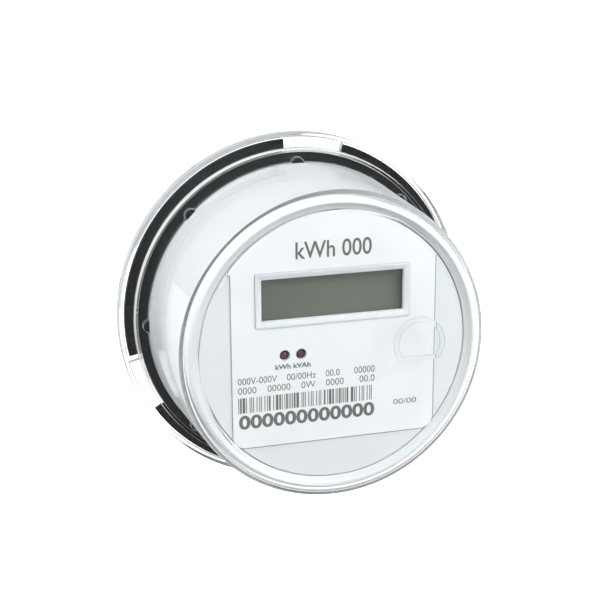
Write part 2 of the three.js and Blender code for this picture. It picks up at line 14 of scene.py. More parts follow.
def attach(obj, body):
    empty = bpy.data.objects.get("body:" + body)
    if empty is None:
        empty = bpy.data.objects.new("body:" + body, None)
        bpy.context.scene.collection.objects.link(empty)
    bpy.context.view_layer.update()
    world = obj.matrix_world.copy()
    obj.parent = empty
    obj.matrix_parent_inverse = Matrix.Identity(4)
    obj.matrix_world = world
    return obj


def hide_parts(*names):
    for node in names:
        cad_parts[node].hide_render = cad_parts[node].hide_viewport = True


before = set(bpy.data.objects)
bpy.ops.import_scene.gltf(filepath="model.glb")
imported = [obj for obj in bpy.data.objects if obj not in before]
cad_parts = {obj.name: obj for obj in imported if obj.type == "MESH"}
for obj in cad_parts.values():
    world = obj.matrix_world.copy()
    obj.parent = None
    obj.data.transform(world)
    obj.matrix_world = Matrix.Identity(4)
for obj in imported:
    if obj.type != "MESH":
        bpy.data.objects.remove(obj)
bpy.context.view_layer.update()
MM = 0.001
METER, COVER = "meter_body", "cover_body"

# ---- Sizes, in millimetres ---------------------------------------------------------------------------

# Clear cover
FLANGE, LIP_INNER = 88.25, 86.2
FLANGE_BACK, FLANGE_FRONT = 11, 18.5
STEP_FOOT, STEP_TOP, STEP_INNER, STEP_FRONT = 81.4, 80.9, 79.9, 23.5
CUP_FOOT, CUP_TOP, CUP_CORNER = 75.3, 72.46, 7.6
WALL = 2.2
FRONT, FRONT_EDGE, FRONT_INSIDE = 90, 89.3, 87.6
DISC = 64.2  # the slightly raised middle of the front
CLOUD_BACK = 20.1  # the step's wall is cloudy from here forward
PAD_COUNT, PAD_CENTRE, PAD_R, PAD_FRONT = 8, 74.7, 3.2, 27.4
PAD_CUT = CUP_FOOT - 1  # the pads are cut off inside the wall of the cup
PORT_X, PORT_Z, PORT_R, PORT_FLAT, PORT_RIM, PORT_HEIGHT = 38.4, 0, 12.45, 8.2, 2.35, 1.2

# Bayonet; the spans are in degrees from the start of a gap
GAP_PITCH = 120
GAPS = [82.3 + GAP_PITCH * i for i in range(3)]  # middles of the gaps between the rails, in degrees
GAP_WIDTH = 21
HOOK_INNER, HOOK_FRONT, HOOK_SPAN = 82, 12.7, (-16, -2)
STOP_INNER, STOP_BACK, STOP_SPAN = 80.6, 12, (0.5, 2.1)
RAIL_INNER, RAIL_OUTER, RAIL_BACK, RAIL_FRONT = 77.5, 85.1, 13.2, 16
GRIP = 0.4  # how far a piece of the cover runs into the wall that it stands on

# Black base
SEAL_INNER, SEAL_OUTER, SEAL_BACK, SEAL_FRONT = 78.4, 79.7, 16.3, 19.9
BASE_BACK_R, BASE_INNER, BASE_FLOOR, BASE_FRONT = 72, 67.6, 4, 21
SHELF_R, SHELF_BACK = 79.8, 14.2  # what the rails and the seal stand on
BASE_LIP_R, BASE_LIP_BACK, SEAL_SEAT = 79.5, 20.2, 78.3
BLADES = ((-35, 49), (35, 49), (-35, -49), (35, -49))
NEUTRAL = (-50, 0)
SLOT_W, SLOT_H = 2.6, 14.6  # a blade's slot
SEAT_W, SEAT_H, SEAT_CORNER, SEAT_DEPTH = 9, 26, 2, 0.7  # the shallow seat round it
GROOVE_INNER, GROOVE_OUTER, GROOVE_DEPTH = 68, 69.4, 0.8
POCKET_INNER, POCKET_OUTER, POCKET_DEPTH = 12, 26, 1.2
POCKET_SPANS = [(start + 24, start + 110) for start in (-22, 68, 158, 248)]

# Screws that hold the drum to the base
POST_CIRCLE = 63.5
POSTS = [
    (POST_CIRCLE * math.cos(a), POST_CIRCLE * math.sin(a)) for a in map(math.radians, (45, 135, 225, 315))
]
BOSS_R, POST_R, POST_FRONT, SCREW_HOLE_R = 5, 4.5, 79, 1.8
HEAD_HOLE_R, HEAD_HOLE_DEPTH, PILOT_FRONT = 3.5, 6, 36.7

# White drum
DRUM_BACK, DRUM_FRONT = 21.3, 84.9
DRUM_FOOT, DRUM_TOP = 71.4, 68.9  # radii of its side
DRUM_INNER_FOOT, DRUM_INNER_TOP = 69.5, 67
DRUM_FOOT_R, DRUM_FOOT_FRONT = 72.7, 23.3  # the wider foot
CREST_INNER, SLOPE_R, SLOPE_FRONT = 67, 65.3, 83.4  # the rim's flat crest and the slope inside it
DRUM_BORE, BORE_FRONT = 63.7, 82.7  # the opening that holds the face
LEDGE_INNER, LEDGE_BACK, LEDGE_FRONT = 60, 78.1, 80.1  # what the face stands on
RIM_BACK = 82.4  # the drum's rim takes a greyer copy of the white plastic from here forward: painted shade that tones down how brightly the lamps light it

# Face, label, display and lamps
FACE_R, FACE_BACK, FACE_FRONT = 63.32, 80.4, 82.3
LABEL_BACK, LABEL_FRONT = 82.36, 82.6
LABEL_R, LABEL_HALF, LABEL_BOTTOM, LABEL_CORNER = 62.8, 49, -45.2, 6
PRINT_DEPTH, PRINT_THICKNESS = LABEL_FRONT + 0.005, 0.03
WINDOW_X, WINDOW_Z, WINDOW_W, WINDOW_H = -0.6, 24.2, 67.8, 19.5
BEZEL, BEZEL_FRONT = 2.9, 83.1  # the raised frame round the window
FRAME_W, FRAME_H, FRAME_CORNER = WINDOW_W + 2 * BEZEL, WINDOW_H + 2 * BEZEL, 1.2
SLOPE_FOOT, SLOPE_TOP, FRAME_FLAT = 82.5, 83.25, 0.4  # its inner slope and the flat beside it
LABEL_GAP = 0.25  # from the frame to the label
PANE_MARGIN, PANE_BACK, PANE_FRONT = 4, 79.1, 80.1
PANEL_BACK, PANEL_FRONT = 76.6, 78.8
LAMPS = ((-23.8, -2.1), (-16.0, -2.1))
LAMP_R, LAMP_HOLE_R, LAMP_COLLAR_R = 1.9, 2.5, 2.3
LAMP_BACK, LAMP_COLLAR_FRONT = 68, 69

PAST = 1  # how far a cutting shape runs past what it cuts
FINE_STEPS = 216  # facets round the cover and the drum

# ---- Mesh helpers ------------------------------------------------------------------------------------


def rounded(corners):
    """Points of a closed outline whose (a, b, radius) corners are rounded."""
    points = []
    for i, (a, b, radius) in enumerate(corners):
        here = Vector((a, b))
        if not radius:
            points.append((a, b))
            continue
        before = (Vector(corners[i - 1][:2]) - here).normalized()
        after = (Vector(corners[(i + 1) % len(corners)][:2]) - here).normalized()
        angle = before.angle(after)
        reach = radius / math.tan(angle / 2)
        centre = here + (before + after).normalized() * (radius / math.sin(angle / 2))
        start, end = here + before * reach - centre, here + after * reach - centre
        steps = max(2, math.ceil(start.angle(end) / math.radians(15)))
        for k in range(steps + 1):
            point = centre + start.normalized().slerp(end.normalized(), k / steps) * radius
            points.append((point.x, point.y))
    return points


def mesh_object(name, bm):
    bmesh.ops.recalc_face_normals(bm, faces=bm.faces)
    mesh = bpy.data.meshes.new(name)
    bm.to_mesh(mesh)
    bm.free()
    made = bpy.data.objects.new(name, mesh)
    bpy.context.scene.collection.objects.link(made)
    return made


def lathe(name, outline, steps=180):
    """A closed [radius, depth] outline turned about the meter's axis."""
    bm = bmesh.new()
    rings = []
    for radius, depth in outline:
        if radius < 1e-6:
            rings.append([bm.verts.new((0, -depth * MM, 0))])
            continue
        turn = [2 * math.pi * k / steps for k in range(steps)]
        rings.append(
            [bm.verts.new((radius * MM * math.cos(t), -depth * MM, radius * MM * math.sin(t))) for t in turn]
        )
    for one, two in zip(rings, rings[1:] + rings[:1]):
        for k in range(steps):
            n = (k + 1) % steps
            if len(one) == 1 and len(two) == 1:
                break
            if len(one) == 1:
                bm.faces.new((one[0], two[k], two[n]))
            elif len(two) == 1:
                bm.faces.new((one[k], two[0], one[n]))
            else:
                bm.faces.new((one[k], two[k], two[n], one[n]))
    return mesh_object(name, bm)


def prism(name, outline, back, front, edge=0.0, scale_front=1.0):
    """An (x, z) outline, solid between two depths, with softened front and back edges."""
    bm = bmesh.new()
    middle = Vector((sum(p[0] for p in outline), sum(p[1] for p in outline))) / len(outline)
    low = [bm.verts.new((x * MM, -back * MM, z * MM)) for x, z in outline]
    high = []
    for x, z in outline:
        px = middle.x + (x - middle.x) * scale_front
        pz = middle.y + (z - middle.y) * scale_front
        high.append(bm.verts.new((px * MM, -front * MM, pz * MM)))
    bm.faces.new(low)
    bm.faces.new(high[::-1])
    for k in range(len(outline)):
        n = (k + 1) % len(outline)
        bm.faces.new((low[k], low[n], high[n], high[k]))
    if edge:
        rims = [e for e in bm.edges if abs(e.verts[0].co.y - e.verts[1].co.y) < 1e-7]
        bmesh.ops.bevel(bm, geom=rims, offset=edge * MM, segments=2, profile=0.5, affect="EDGES")
    return mesh_object(name, bm)


def circle(x, z, radius, steps=48):
    return [
        (x + radius * math.cos(2 * math.pi * k / steps), z + radius * math.sin(2 * math.pi * k / steps))
        for k in range(steps)
    ]


def rectangle(x, z, width, height, corner=0.0):
    w, h = width / 2, height / 2
    signs = ((-1, -1), (1, -1), (1, 1), (-1, 1))
    return rounded([(x + i * w, z + k * h, corner) for i, k in signs])


def sector(inner, outer, start, end, steps=24):
    angles = [math.radians(start + (end - start) * k / steps) for k in range(steps + 1)]
    outside = [(outer * math.cos(a), outer * math.sin(a)) for a in angles]
    return outside + [(inner * math.cos(a), inner * math.sin(a)) for a in reversed(angles)]


def cut_circle(x, z, radius, flat, steps=56):
    """A circle cut by a flat below its centre."""
    half = math.asin(flat / radius)
    turn = [-half + (math.pi + 2 * half) * k / steps for k in range(steps + 1)]
    return [(x + radius * math.cos(t), z + radius * math.sin(t)) for t in turn]


def evaluated_mesh(piece):
    view = bpy.context.evaluated_depsgraph_get()
    return bpy.data.meshes.new_from_object(piece.evaluated_get(view))


def combine(target, others, operation="UNION"):
    """Joins the others to the target or cuts them from it, and removes them."""
    for other in others:
        modifier = target.modifiers.new("combine", "BOOLEAN")
        modifier.operation = operation
        modifier.solver = "EXACT"
        modifier.object = other
    target_mesh = evaluated_mesh(target)
    target.modifiers.clear()
    target.data = target_mesh
    for other in others:
        bpy.data.objects.remove(other, do_unlink=True)
    return target


FLAT_NORMAL = 0.9999


def shade(piece, angle=32):
    """Smooth faces, sharp edges over an angle, and normals that follow the larger faces. Faces that look
    straight ahead or back stay flat, so that no seam shows across them."""
    mesh = piece.data
    mesh.polygons.foreach_set("use_smooth", [True] * len(mesh.polygons))
    mesh.set_sharp_from_angle(angle=math.radians(angle))
    for face in mesh.polygons:
        if abs(face.normal.y) > FLAT_NORMAL:
            face.use_smooth = False
    weighted = piece.modifiers.new("normals", "WEIGHTED_NORMAL")
    weighted.keep_sharp = True
    return piece


def paint(piece, materials, pick):
    """Gives each face the material whose place in the list pick(radius, depth) returns; millimetres."""
    for material in materials:
        piece.data.materials.append(material)
    for face in piece.data.polygons:
        centre = face.center
        face.material_index = pick(math.hypot(centre.x, centre.z) / MM, -centre.y / MM)
    return piece


def place(piece, material, body, replaces=()):
    """Gives a finished piece its material and its body, and hides the CAD nodes that it stands for.
    Without a material it keeps what paint gave it."""
    if material:
        piece.data.materials.clear()
        piece.data.materials.append(material)
    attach(piece, body)
    if replaces:
        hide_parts(*replaces)
    return piece


# ---- Materials ---------------------------------------------------------------------------------------


def new_material(name):
    material = bpy.data.materials.new(name)
    material.use_nodes = True
    nodes, links = material.node_tree.nodes, material.node_tree.links
    return material, nodes, links, nodes["Principled BSDF"]


def moulded(name, color, roughness, mottle=0.05, grain=0.06, grain_scale=2600, metallic=0.0, coat=0.0,
            stretch=(1, 1, 1), spread=0.08, specular=0.5):
    """Plastic, metal, paper or board: a base colour that drifts a little, uneven gloss and a fine grain."""
    material, nodes, links, shader = new_material(name)
    place_in = nodes.new("ShaderNodeTexCoord")
    mapping = nodes.new("ShaderNodeMapping")
    mapping.inputs["Scale"].default_value = stretch
    links.new(place_in.outputs["Object"], mapping.inputs["Vector"])
    cloud = nodes.new("ShaderNodeTexNoise")
    cloud.inputs["Scale"].default_value = 45
    cloud.inputs["Detail"].default_value = 4
    links.new(mapping.outputs["Vector"], cloud.inputs["Vector"])
    tones = nodes.new("ShaderNodeValToRGB")
    tones.color_ramp.elements[0].position = 0.3
    tones.color_ramp.elements[1].position = 0.7
    tones.color_ramp.elements[0].color = [c * (1 - mottle) for c in color] + [1]
    tones.color_ramp.elements[1].color = [min(1, c * (1 + mottle)) for c in color] + [1]
    links.new(cloud.outputs["Fac"], tones.inputs["Fac"])
    links.new(tones.outputs["Color"], shader.inputs["Base Color"])
    fine = nodes.new("ShaderNodeTexNoise")
    fine.inputs["Scale"].default_value = grain_scale
    fine.inputs["Detail"].default_value = 3
    links.new(mapping.outputs["Vector"], fine.inputs["Vector"])
    gloss = nodes.new("ShaderNodeMapRange")
    gloss.inputs["To Min"].default_value = max(0.02, roughness - spread)
    gloss.inputs["To Max"].default_value = min(1, roughness + spread)
    links.new(cloud.outputs["Fac"], gloss.inputs["Value"])
    links.new(gloss.outputs["Result"], shader.inputs["Roughness"])
    bump = nodes.new("ShaderNodeBump")
    bump.inputs["Strength"].default_value = grain
    bump.inputs["Distance"].default_value = 0.0001
    links.new(fine.outputs["Fac"], bump.inputs["Height"])
    links.new(bump.outputs["Normal"], shader.inputs["Normal"])
    shader.inputs["Metallic"].default_value = metallic
    shader.inputs["Specular IOR Level"].default_value = specular
    shader.inputs["Coat Weight"].default_value = coat
    shader.inputs["Coat Roughness"].default_value = 0.12
    return material


def clear(name, tint, bend, gloss_ior=1.4, cloud=0.0, edge=0.85, haze_and_shade_color=(0.60, 0.625, 0.64)):
    """Clear moulding: it bends what is behind it, mirrors a little and casts almost no shadow. Where it is
    seen edge on it turns grey, painted shade that stands in for the darker reflections of its edges; cloud
    spreads that colour over the whole surface, real cloudiness on the step and painted shade on the lip. The
    mirrored share follows gloss_ior outside and bend inside."""
    material, nodes, links, shader = new_material(name)
    nodes.remove(shader)
    place_in = nodes.new("ShaderNodeTexCoord")
    flow = nodes.new("ShaderNodeTexNoise")
    flow.inputs["Scale"].default_value = 60
    flow.inputs["Detail"].default_value = 1
    links.new(place_in.outputs["Object"], flow.inputs["Vector"])
    bump = nodes.new("ShaderNodeBump")
    bump.inputs["Strength"].default_value = 0.02
    bump.inputs["Distance"].default_value = 0.0005
    links.new(flow.outputs["Fac"], bump.inputs["Height"])
    body = nodes.new("ShaderNodeBsdfRefraction")
    body.inputs["Color"].default_value = (*tint, 1)
    body.inputs["IOR"].default_value = bend
    body.inputs["Roughness"].default_value = 0
    links.new(bump.outputs["Normal"], body.inputs["Normal"])
    mirror = nodes.new("ShaderNodeBsdfGlossy")
    mirror.inputs["Roughness"].default_value = 0.03
    links.new(bump.outputs["Normal"], mirror.inputs["Normal"])
    share = nodes.new("ShaderNodeFresnel")
    links.new(bump.outputs["Normal"], share.inputs["Normal"])
    side = nodes.new("ShaderNodeNewGeometry")
    strength = nodes.new("ShaderNodeMath")
    strength.operation = "MULTIPLY_ADD"
    strength.inputs[1].default_value = bend - gloss_ior
    strength.inputs[2].default_value = gloss_ior
    links.new(side.outputs["Backfacing"], strength.inputs[0])
    links.new(strength.outputs["Value"], share.inputs["IOR"])
    glass = nodes.new("ShaderNodeMixShader")
    links.new(share.outputs["Fac"], glass.inputs["Fac"])
    links.new(body.outputs["BSDF"], glass.inputs[1])
    links.new(mirror.outputs["BSDF"], glass.inputs[2])
    through = nodes.new("ShaderNodeBsdfTransparent")
    through.inputs["Color"].default_value = (0.97, 0.98, 0.98, 1)
    # Painted shade: a grey diffuse, mixed in where the moulding is seen edge on and, by cloud, all over
    haze_and_shade_bsdf = nodes.new("ShaderNodeBsdfDiffuse")
    haze_and_shade_bsdf.inputs["Color"].default_value = (*haze_and_shade_color, 1)
    grazing = nodes.new("ShaderNodeLayerWeight")
    grazing.inputs["Blend"].default_value = 0.5
    rise = nodes.new("ShaderNodeMath")
    rise.operation = "POWER"
    rise.inputs[1].default_value = 3
    links.new(grazing.outputs["Facing"], rise.inputs[0])
    haze_and_shade_share = nodes.new("ShaderNodeMath")
    haze_and_shade_share.operation = "MULTIPLY_ADD"
    haze_and_shade_share.inputs[1].default_value = edge
    haze_and_shade_share.inputs[2].default_value = cloud
    links.new(rise.outputs["Value"], haze_and_shade_share.inputs[0])
    haze_and_shade_mix = nodes.new("ShaderNodeMixShader")
    links.new(haze_and_shade_share.outputs["Value"], haze_and_shade_mix.inputs["Fac"])
    links.new(glass.outputs["Shader"], haze_and_shade_mix.inputs[1])
    links.new(haze_and_shade_bsdf.outputs["BSDF"], haze_and_shade_mix.inputs[2])
    path = nodes.new("ShaderNodeLightPath")
    mix = nodes.new("ShaderNodeMixShader")
    links.new(path.outputs["Is Shadow Ray"], mix.inputs["Fac"])
    links.new(haze_and_shade_mix.outputs["Shader"], mix.inputs[1])
    links.new(through.outputs["BSDF"], mix.inputs[2])
    links.new(mix.outputs["Shader"], nodes["Material Output"].inputs["Surface"])
    return material


# The cover bends less than real polycarbonate does, because the rims stand that way in the photo
COVER_TINT, COVER_BEND = (0.985, 0.992, 0.995), 1.18

clear_plastic = clear("clear_polycarbonate", COVER_TINT, COVER_BEND)
cloudy_plastic = clear(
    "cloudy_step", COVER_TINT, COVER_BEND, cloud=0.7, edge=0.2, haze_and_shade_color=(0.84, 0.86, 0.88)
)
# Painted shade: the outer lip is mostly a dark grey diffuse, for the darker look of the flange's edge
lip_shaded_plastic = clear(
    "lip_wall_painted_shade", (0.97, 0.98, 0.99), COVER_BEND, cloud=0.6, edge=0.2, haze_and_shade_color=(0.37, 0.40, 0.43)
)
# The port ring turns a mid grey where it is seen edge on: painted shade that makes the ring stand out
port_plastic = clear(
    "port_ring", (0.955, 0.965, 0.97), 1.5, gloss_ior=1.55, edge=0.5, haze_and_shade_color=(0.5, 0.52, 0.53)
)
window_clear = clear("window_acrylic", (0.97, 0.98, 0.97), 1.2)
white_plastic = moulded("white_plastic", (0.765, 0.78, 0.79), 0.38, 0.012, 0.05, 2200, coat=0.12)
# Painted shade: a greyer copy of the white plastic for the drum's rim, which the lamps light too brightly
rim_painted_shade = moulded("rim_painted_shade", (0.665, 0.68, 0.69), 0.38, 0.012, 0.05, 2200, coat=0.12)
face_plastic = moulded("face_plastic", (0.69, 0.71, 0.725), 0.42, 0.012, 0.05, 2200)
label_print = moulded("label_film", (0.785, 0.80, 0.805), 0.5, 0.02, 0.10, 1500)
black_plastic = moulded("black_plastic", (0.006, 0.008, 0.009), 0.5, 0.18, 0.16, 1400, specular=0.12)
seal_rubber = moulded("white_seal", (0.90, 0.91, 0.91), 0.6, 0.02, 0.08, 1200)
ink = moulded("printed_ink", (0.13, 0.13, 0.125), 0.55, 0.15, 0.05, 2500)
rule_ink = moulded("outline_ink", (0.20, 0.21, 0.22), 0.55, 0.1, 0.05, 2500)
lcd_glass = moulded("display_glass_off", (0.14, 0.148, 0.12), 0.2, 0.05, 0.01, 900, coat=0.5)
lamp_epoxy = moulded("lamp_epoxy", (0.075, 0.018, 0.022), 0.18, 0.12, 0.02, 900, coat=0.6)
dark_epoxy = moulded("dark_epoxy", (0.012, 0.010, 0.016), 0.15, 0.12, 0.02, 900, coat=0.6)
tin = moulded("tinned_metal", (0.74, 0.745, 0.75), 0.3, 0.06, 0.35, 1800, metallic=1, stretch=(1, 0.06, 1))
copper = moulded("copper_bar", (0.78, 0.40, 0.25), 0.34, 0.12, 0.3, 1600, metallic=1, stretch=(1, 1, 0.06))
steel = moulded("zinc_steel", (0.56, 0.57, 0.60), 0.33, 0.08, 0.2, 1800, metallic=1)
brass = moulded("turned_brass", (0.72, 0.55, 0.26), 0.3, 0.08, 0.25, 1800, metallic=1, stretch=(1, 8, 1))
board = moulded("green_board", (0.02, 0.16, 0.07), 0.35, 0.2, 0.25, 1100, coat=0.3)
chip = moulded("black_component", (0.022, 0.022, 0.024), 0.45, 0.15, 0.2, 1500)
blue_case = moulded("blue_component", (0.03, 0.09, 0.24), 0.35, 0.1, 0.1, 1200, coat=0.2)
yellow_case = moulded("yellow_component", (0.62, 0.40, 0.05), 0.4, 0.1, 0.15, 900)
wire_red = moulded("red_insulation", (0.36, 0.02, 0.02), 0.4, 0.08, 0.08, 1400)

# ---- Clear cover ---------------------------------------------------------------------------------------


def make_cover():
    outline = rounded([
        (LIP_INNER, FLANGE_BACK, 0.3),
        (FLANGE, FLANGE_BACK, 0.5),
        (FLANGE, FLANGE_FRONT, 1.0),
        (STEP_FOOT, FLANGE_FRONT, 0.4),
        (STEP_FOOT - 0.15, CLOUD_BACK, 0),
        (STEP_TOP, STEP_FRONT, 0.6),
        (CUP_FOOT, STEP_FRONT, 0.6),
        (CUP_TOP, FRONT_EDGE, CUP_CORNER),
        (DISC + 0.7, FRONT_EDGE, 0.3),
        (DISC, FRONT, 0.3),
        (0, FRONT, 0),
        (0, FRONT_INSIDE, 0),
        (CUP_TOP - WALL, FRONT_INSIDE, CUP_CORNER - WALL),
        (CUP_FOOT - WALL, STEP_FRONT - WALL, 0.5),
        (STEP_INNER - 0.3, STEP_FRONT - WALL, 0.5),
        (STEP_INNER, FLANGE_FRONT - WALL, 0.5),
        (LIP_INNER, FLANGE_FRONT - WALL, 0.5),
    ])
    cover = lathe("clear_cover", outline, FINE_STEPS)
    added = []
    for middle in GAPS:
        start = middle - GAP_WIDTH / 2
        hook = sector(HOOK_INNER, LIP_INNER + GRIP, start + HOOK_SPAN[0], start + HOOK_SPAN[1], 12)
        added.append(prism("hook", hook, FLANGE_BACK + 0.1, HOOK_FRONT, 0.2))
        stop = sector(STOP_INNER, LIP_INNER + GRIP, start + STOP_SPAN[0], start + STOP_SPAN[1], 4)
        added.append(prism("stop", stop, STOP_BACK, FLANGE_FRONT - WALL + GRIP))
    for k in range(PAD_COUNT):
        angle = k * 2 * math.pi / PAD_COUNT
        x, z = PAD_CENTRE * math.cos(angle), PAD_CENTRE * math.sin(angle)
        pad = prism("pad", circle(x, z, PAD_R, 32), STEP_FRONT - 1, PAD_FRONT, 0.5)
        inside = lathe("inside", [
            (0, STEP_FRONT - 3 * PAST),
            (PAD_CUT, STEP_FRONT - 3 * PAST),
            (PAD_CUT, PAD_FRONT + PAST),
            (0, PAD_FRONT + PAST),
        ], 90)
        added.append(combine(pad, [inside], "DIFFERENCE"))
    outside = cut_circle(PORT_X, PORT_Z, PORT_R, PORT_FLAT)
    ring = prism("port", outside, FRONT - 0.6, FRONT + PORT_HEIGHT, 0.35)
    well = cut_circle(PORT_X, PORT_Z, PORT_R - PORT_RIM, PORT_FLAT - PORT_RIM + 0.3)
    added.append(combine(ring, [prism("well", well, FRONT - 2 * PAST, FRONT + 3 * PAST)], "DIFFERENCE"))
    combine(cover, added)

    def pick(radius, depth):
        """The step's wall is cloudy and the port ring has a plastic of its own; the outer lip takes a dark
        grey, painted shade that darkens the flange's edge.
        """
        if CLOUD_BACK - 0.1 < depth < STEP_FRONT - 0.3 and abs(radius - STEP_FOOT) < 0.9:
            return 1
        if depth > FRONT + 0.05:
            return 2
        return 3 if radius > FLANGE - 0.4 else 0

    paint(cover, (clear_plastic, cloudy_plastic, port_plastic, lip_shaded_plastic), pick)
    return place(shade(cover), None, COVER, ["cover"])


make_cover()


def make_seal():
    outline = rounded([
        (SEAL_INNER, SEAL_BACK, 0.25),
        (SEAL_OUTER, SEAL_BACK, 0.25),
        (SEAL_OUTER, SEAL_FRONT, 0.25),
        (SEAL_INNER, SEAL_FRONT, 0.25),
    ])
    place(shade(lathe("cover_seal", outline)), seal_rubber, METER, ["cover_gasket"])


make_seal()

# ---- Black base ----------------------------------------------------------------------------------------


def make_base():
    outline = rounded([
        (0, 0, 0),
        (BASE_BACK_R, 0, 1.2),
        (BASE_BACK_R, SHELF_BACK, 0.4),
        (SHELF_R, SHELF_BACK, 0.3),
        (SHELF_R, RAIL_FRONT, 0.3),
        (SEAL_SEAT, RAIL_FRONT, 0),
        (SEAL_SEAT, BASE_LIP_BACK, 0),
        (BASE_LIP_R, BASE_LIP_BACK, 0.15),
        (BASE_LIP_R, BASE_FRONT, 0.3),
        (BASE_INNER, BASE_FRONT, 0.3),
        (BASE_INNER, BASE_FLOOR, 0.5),
        (0, BASE_FLOOR, 0),
    ])
    base = lathe("black_base", outline)
    added = []
    for middle in GAPS:
        start, end = middle + GAP_WIDTH / 2, middle + GAP_PITCH - GAP_WIDTH / 2
        rail = sector(RAIL_INNER, RAIL_OUTER, start, end, 48)
        added.append(prism("rail", rail, RAIL_BACK, RAIL_FRONT, 0.35))
    added += [prism("boss", circle(x, z, BOSS_R), BASE_FLOOR - PAST, BASE_FRONT, 0.3) for x, z in POSTS]
    combine(base, added)
    holes = []
    for x, z in POSTS:
        holes.append(prism("hole", circle(x, z, SCREW_HOLE_R, 24), -PAST, BASE_FRONT + PAST))
        holes.append(prism("sink", circle(x, z, HEAD_HOLE_R, 32), -PAST, HEAD_HOLE_DEPTH))
    for x, z in BLADES:
        holes.append(prism("slot", rectangle(x, z, SLOT_W, SLOT_H), -PAST, BASE_FLOOR + PAST))
    holes.append(prism("slot", rectangle(*NEUTRAL, SLOT_H, SLOT_W), -PAST, BASE_FLOOR + PAST))
    for x, z in BLADES:
        holes.append(prism("seat", rectangle(x, z, SEAT_W, SEAT_H, SEAT_CORNER), -PAST, SEAT_DEPTH))
    holes.append(prism("seat", rectangle(*NEUTRAL, SEAT_H, SEAT_W, SEAT_CORNER), -PAST, SEAT_DEPTH))
    holes.append(lathe("groove", [
        (GROOVE_INNER, -PAST),
        (GROOVE_OUTER, -PAST),
        (GROOVE_OUTER, GROOVE_DEPTH),
        (GROOVE_INNER, GROOVE_DEPTH),
    ]))
    for span in POCKET_SPANS:
        holes.append(prism("pocket", sector(POCKET_INNER, POCKET_OUTER, *span), -PAST, POCKET_DEPTH))
    combine(base, holes, "DIFFERENCE")
    return place(shade(base), black_plastic, METER, ["base"])


make_base()

# ---- White drum ----------------------------------------------------------------------------------------


def make_drum():
    outline = rounded([
        (DRUM_INNER_FOOT, DRUM_BACK, 0.3),
        (DRUM_FOOT_R, DRUM_BACK, 0.3),
        (DRUM_FOOT_R, DRUM_FOOT_FRONT, 0.5),
        (DRUM_FOOT, DRUM_FOOT_FRONT + 0.3, 0.3),
        (DRUM_TOP, DRUM_FRONT, 1.7),
        (CREST_INNER, DRUM_FRONT, 0.8),
        (SLOPE_R, SLOPE_FRONT, 2.0),
        (DRUM_BORE, BORE_FRONT, 0.3),
        (DRUM_BORE, LEDGE_FRONT, 0),
        (LEDGE_INNER, LEDGE_FRONT, 0.3),
        (LEDGE_INNER, LEDGE_BACK, 0.3),
        (DRUM_INNER_TOP, LEDGE_BACK, 1.0),
    ])
    drum = lathe("white_drum", outline, FINE_STEPS)
    posts = [prism("post", circle(x, z, POST_R, 32), DRUM_BACK, POST_FRONT) for x, z in POSTS]
    combine(drum, posts)
    pilots = [prism("pilot", circle(x, z, SCREW_HOLE_R, 24), DRUM_BACK - PAST, PILOT_FRONT) for x, z in POSTS]
    combine(drum, pilots, "DIFFERENCE")
    # Painted shade: the rim ahead of RIM_BACK gets the greyer copy of the white plastic
    paint(drum, (white_plastic, rim_painted_shade), lambda radius, depth: 1 if depth > RIM_BACK else 0)
    return place(shade(drum), None, METER, ["inner_drum"])


make_drum()

# ---- Face, label and display -----------------------------------------------------------------------------


def make_face():
    outline = rounded([
        (0, FACE_BACK, 0),
        (FACE_R, FACE_BACK, 0.2),
        (FACE_R, FACE_FRONT, 0.35),
        (0, FACE_FRONT, 0),
    ])
    face = lathe("face_disc", outline)
    frame_out = rectangle(WINDOW_X, WINDOW_Z, FRAME_W, FRAME_H, FRAME_CORNER)
    combine(face, [prism("frame", frame_out, FACE_BACK + 0.4, BEZEL_FRONT, 0.15)])
    sunk = rectangle(WINDOW_X, WINDOW_Z, WINDOW_W, WINDOW_H, 0.5)
    cuts = [prism("opening", sunk, FACE_BACK - PAST, FACE_FRONT + 2 * PAST)]
    bm = bmesh.new()
    low = rectangle(WINDOW_X, WINDOW_Z, WINDOW_W - 0.1, WINDOW_H - 0.1)
    high = rectangle(WINDOW_X, WINDOW_Z, FRAME_W - 2 * FRAME_FLAT, FRAME_H - 2 * FRAME_FLAT)
    rows = [
        [bm.verts.new((x * MM, -depth * MM, z * MM)) for x, z in corners]
        for corners, depth in ((low, SLOPE_FOOT), (high, SLOPE_TOP))
    ]
    bm.faces.new(rows[0])
    bm.faces.new(rows[1][::-1])
    for k in range(4):
        n = (k + 1) % 4
        bm.faces.new((rows[0][k], rows[0][n], rows[1][n], rows[1][k]))
    cuts.append(mesh_object("slope", bm))
    for x, z in LAMPS:
        hole = circle(x, z, LAMP_HOLE_R, 32)
        cuts.append(prism("lamp_hole", hole, FACE_BACK - PAST, FACE_FRONT + 2 * PAST))
    combine(face, cuts, "DIFFERENCE")
    return place(shade(face), face_plastic, METER, ["face_plate"])


make_face()

ARC_STEPS, CORNER_STEPS = 48, 8  # facets of the label's top and of each lower corner


def label_outline(shrink=0.0):
    """The label's outline: straight sides, round lower corners and a top that follows the face."""
    radius = LABEL_R - shrink
    half = LABEL_HALF - shrink
    top = math.acos(half / radius)
    low = LABEL_BOTTOM + LABEL_CORNER
    corner = LABEL_CORNER - shrink
    points = []
    for k in range(ARC_STEPS + 1):
        t = top + (math.pi - 2 * top) * k / ARC_STEPS
        points.append((radius * math.cos(t), radius * math.sin(t)))
    for side, first in ((-1, math.pi), (1, 1.5 * math.pi)):  # lower left, then lower right
        for k in range(CORNER_STEPS + 1):
            t = first + 0.5 * math.pi * k / CORNER_STEPS
            x = side * (LABEL_HALF - LABEL_CORNER) + corner * math.cos(t)
            points.append((x, low + corner * math.sin(t)))
    return points


